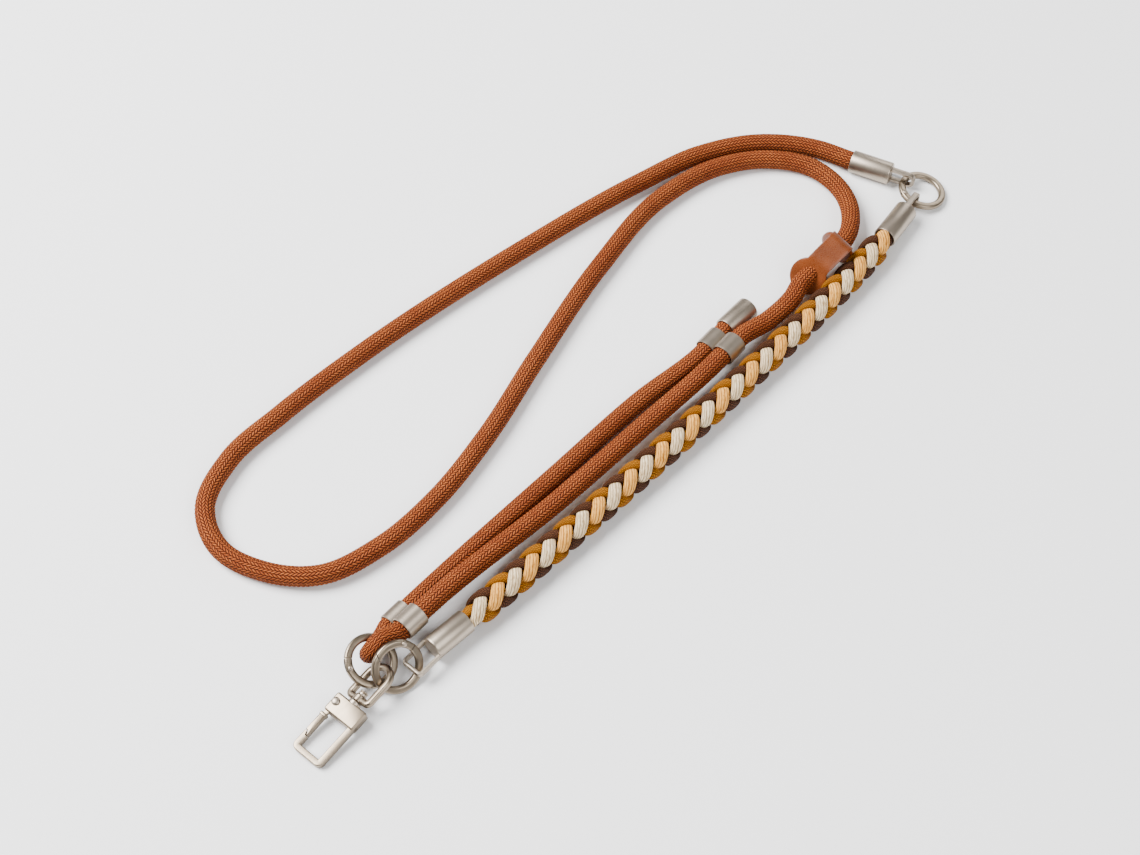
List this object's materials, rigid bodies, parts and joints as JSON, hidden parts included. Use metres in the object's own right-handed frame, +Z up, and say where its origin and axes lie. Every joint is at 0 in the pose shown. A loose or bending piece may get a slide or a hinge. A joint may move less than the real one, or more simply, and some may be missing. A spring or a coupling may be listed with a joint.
{
  "type": "phone crossbody strap",
  "caption": "Crossbody strap of round rope and a thick four-colour braid, joined by sprung rings, with double ferrules, a leather keeper and a swivel snap hook",
  "frame": {"origin": "on the surface below the middle of the hardware and braid, at the level of their lowest point", "axes": "+Z up from the surface that the strap lies on; +X to the right and +Y away from the viewer of the picture"},
  "size_m": [0.3026, 0.2955, 0.0186],
  "materials": {
    "satin_nickel": "warm satin nickel, finely brushed",
    "rust_leather": "pebbled rust leather with a dark suede back",
    "cream_yarn": "matte bundle of parallel yarns",
    "peach_yarn": "matte bundle of parallel yarns",
    "ochre_yarn": "matte bundle of twisted yarns",
    "dark_brown_yarn": "matte bundle of twisted yarns",
    "rust_rope": "braided round rope, slight sheen"
  },
  "bodies": {
    "strap": {"rope_cap": "satin_nickel", "braid_top_cap": "satin_nickel", "braid_bottom_cap": "satin_nickel", "free_end_cap": "satin_nickel", "upper_ferrule": "satin_nickel", "lower_ferrule": "satin_nickel", "top_ring": "satin_nickel", "top_ring_rivet": "satin_nickel", "ring_a": "satin_nickel", "ring_a_rivet": "satin_nickel", "ring_b": "satin_nickel", "ring_b_rivet": "satin_nickel", "hook_bow": "satin_nickel", "leather_keeper": "rust_leather", "strand_cream": "cream_yarn", "strand_peach": "peach_yarn", "strand_ochre": "ochre_yarn", "strand_brown": "dark_brown_yarn", "rope": "rust_rope"},
    "hook": {"hook_frame": "satin_nickel", "hook_pin": "satin_nickel", "hook_rivet": "satin_nickel"},
    "hook_gate_body": {"hook_gate": "satin_nickel"},
    "top_ring_gate_body": {"top_ring_gate": "satin_nickel"},
    "ring_a_gate_body": {"ring_a_gate": "satin_nickel"},
    "ring_b_gate_body": {"ring_b_gate": "satin_nickel"}
  },
  "joints": [
    {"name": "hook_swivel", "type": "hinge", "parent": "strap", "child": "hook", "pos_m": [-0.10625, -0.11735, 0.00515], "axis": [0.6424, 0.7548, 0.1323], "continuous": true},
    {"name": "hook_gate_pivot", "type": "hinge", "parent": "hook", "child": "hook_gate_body", "pos_m": [-0.11409, -0.11869, 0.00434], "axis": [-0.0857, -0.1007, 0.9912], "range_deg": [0, 25], "stiffness_Nm_per_rad": 0.02, "springref_deg": -5.73},
    {"name": "top_ring_gate_pivot", "type": "hinge", "parent": "strap", "child": "top_ring_gate_body", "pos_m": [0.11105, 0.11988, 0.00489], "axis": [-0.2014, -0.0355, -0.9789], "range_deg": [0, 15], "stiffness_Nm_per_rad": 0.02, "springref_deg": -5.73},
    {"name": "ring_a_gate_pivot", "type": "hinge", "parent": "strap", "child": "ring_a_gate_body", "pos_m": [-0.10965, -0.10764, 0.00981], "axis": [0.4047, -0.2529, 0.8788], "range_deg": [0, 20], "stiffness_Nm_per_rad": 0.02, "springref_deg": -5.73},
    {"name": "ring_b_gate_pivot", "type": "hinge", "parent": "strap", "child": "ring_b_gate_body", "pos_m": [-0.09054, -0.09916, 0.01349], "axis": [0.4818, -0.6167, 0.6225], "range_deg": [0, 20], "stiffness_Nm_per_rad": 0.02, "springref_deg": -5.73}
  ]
}
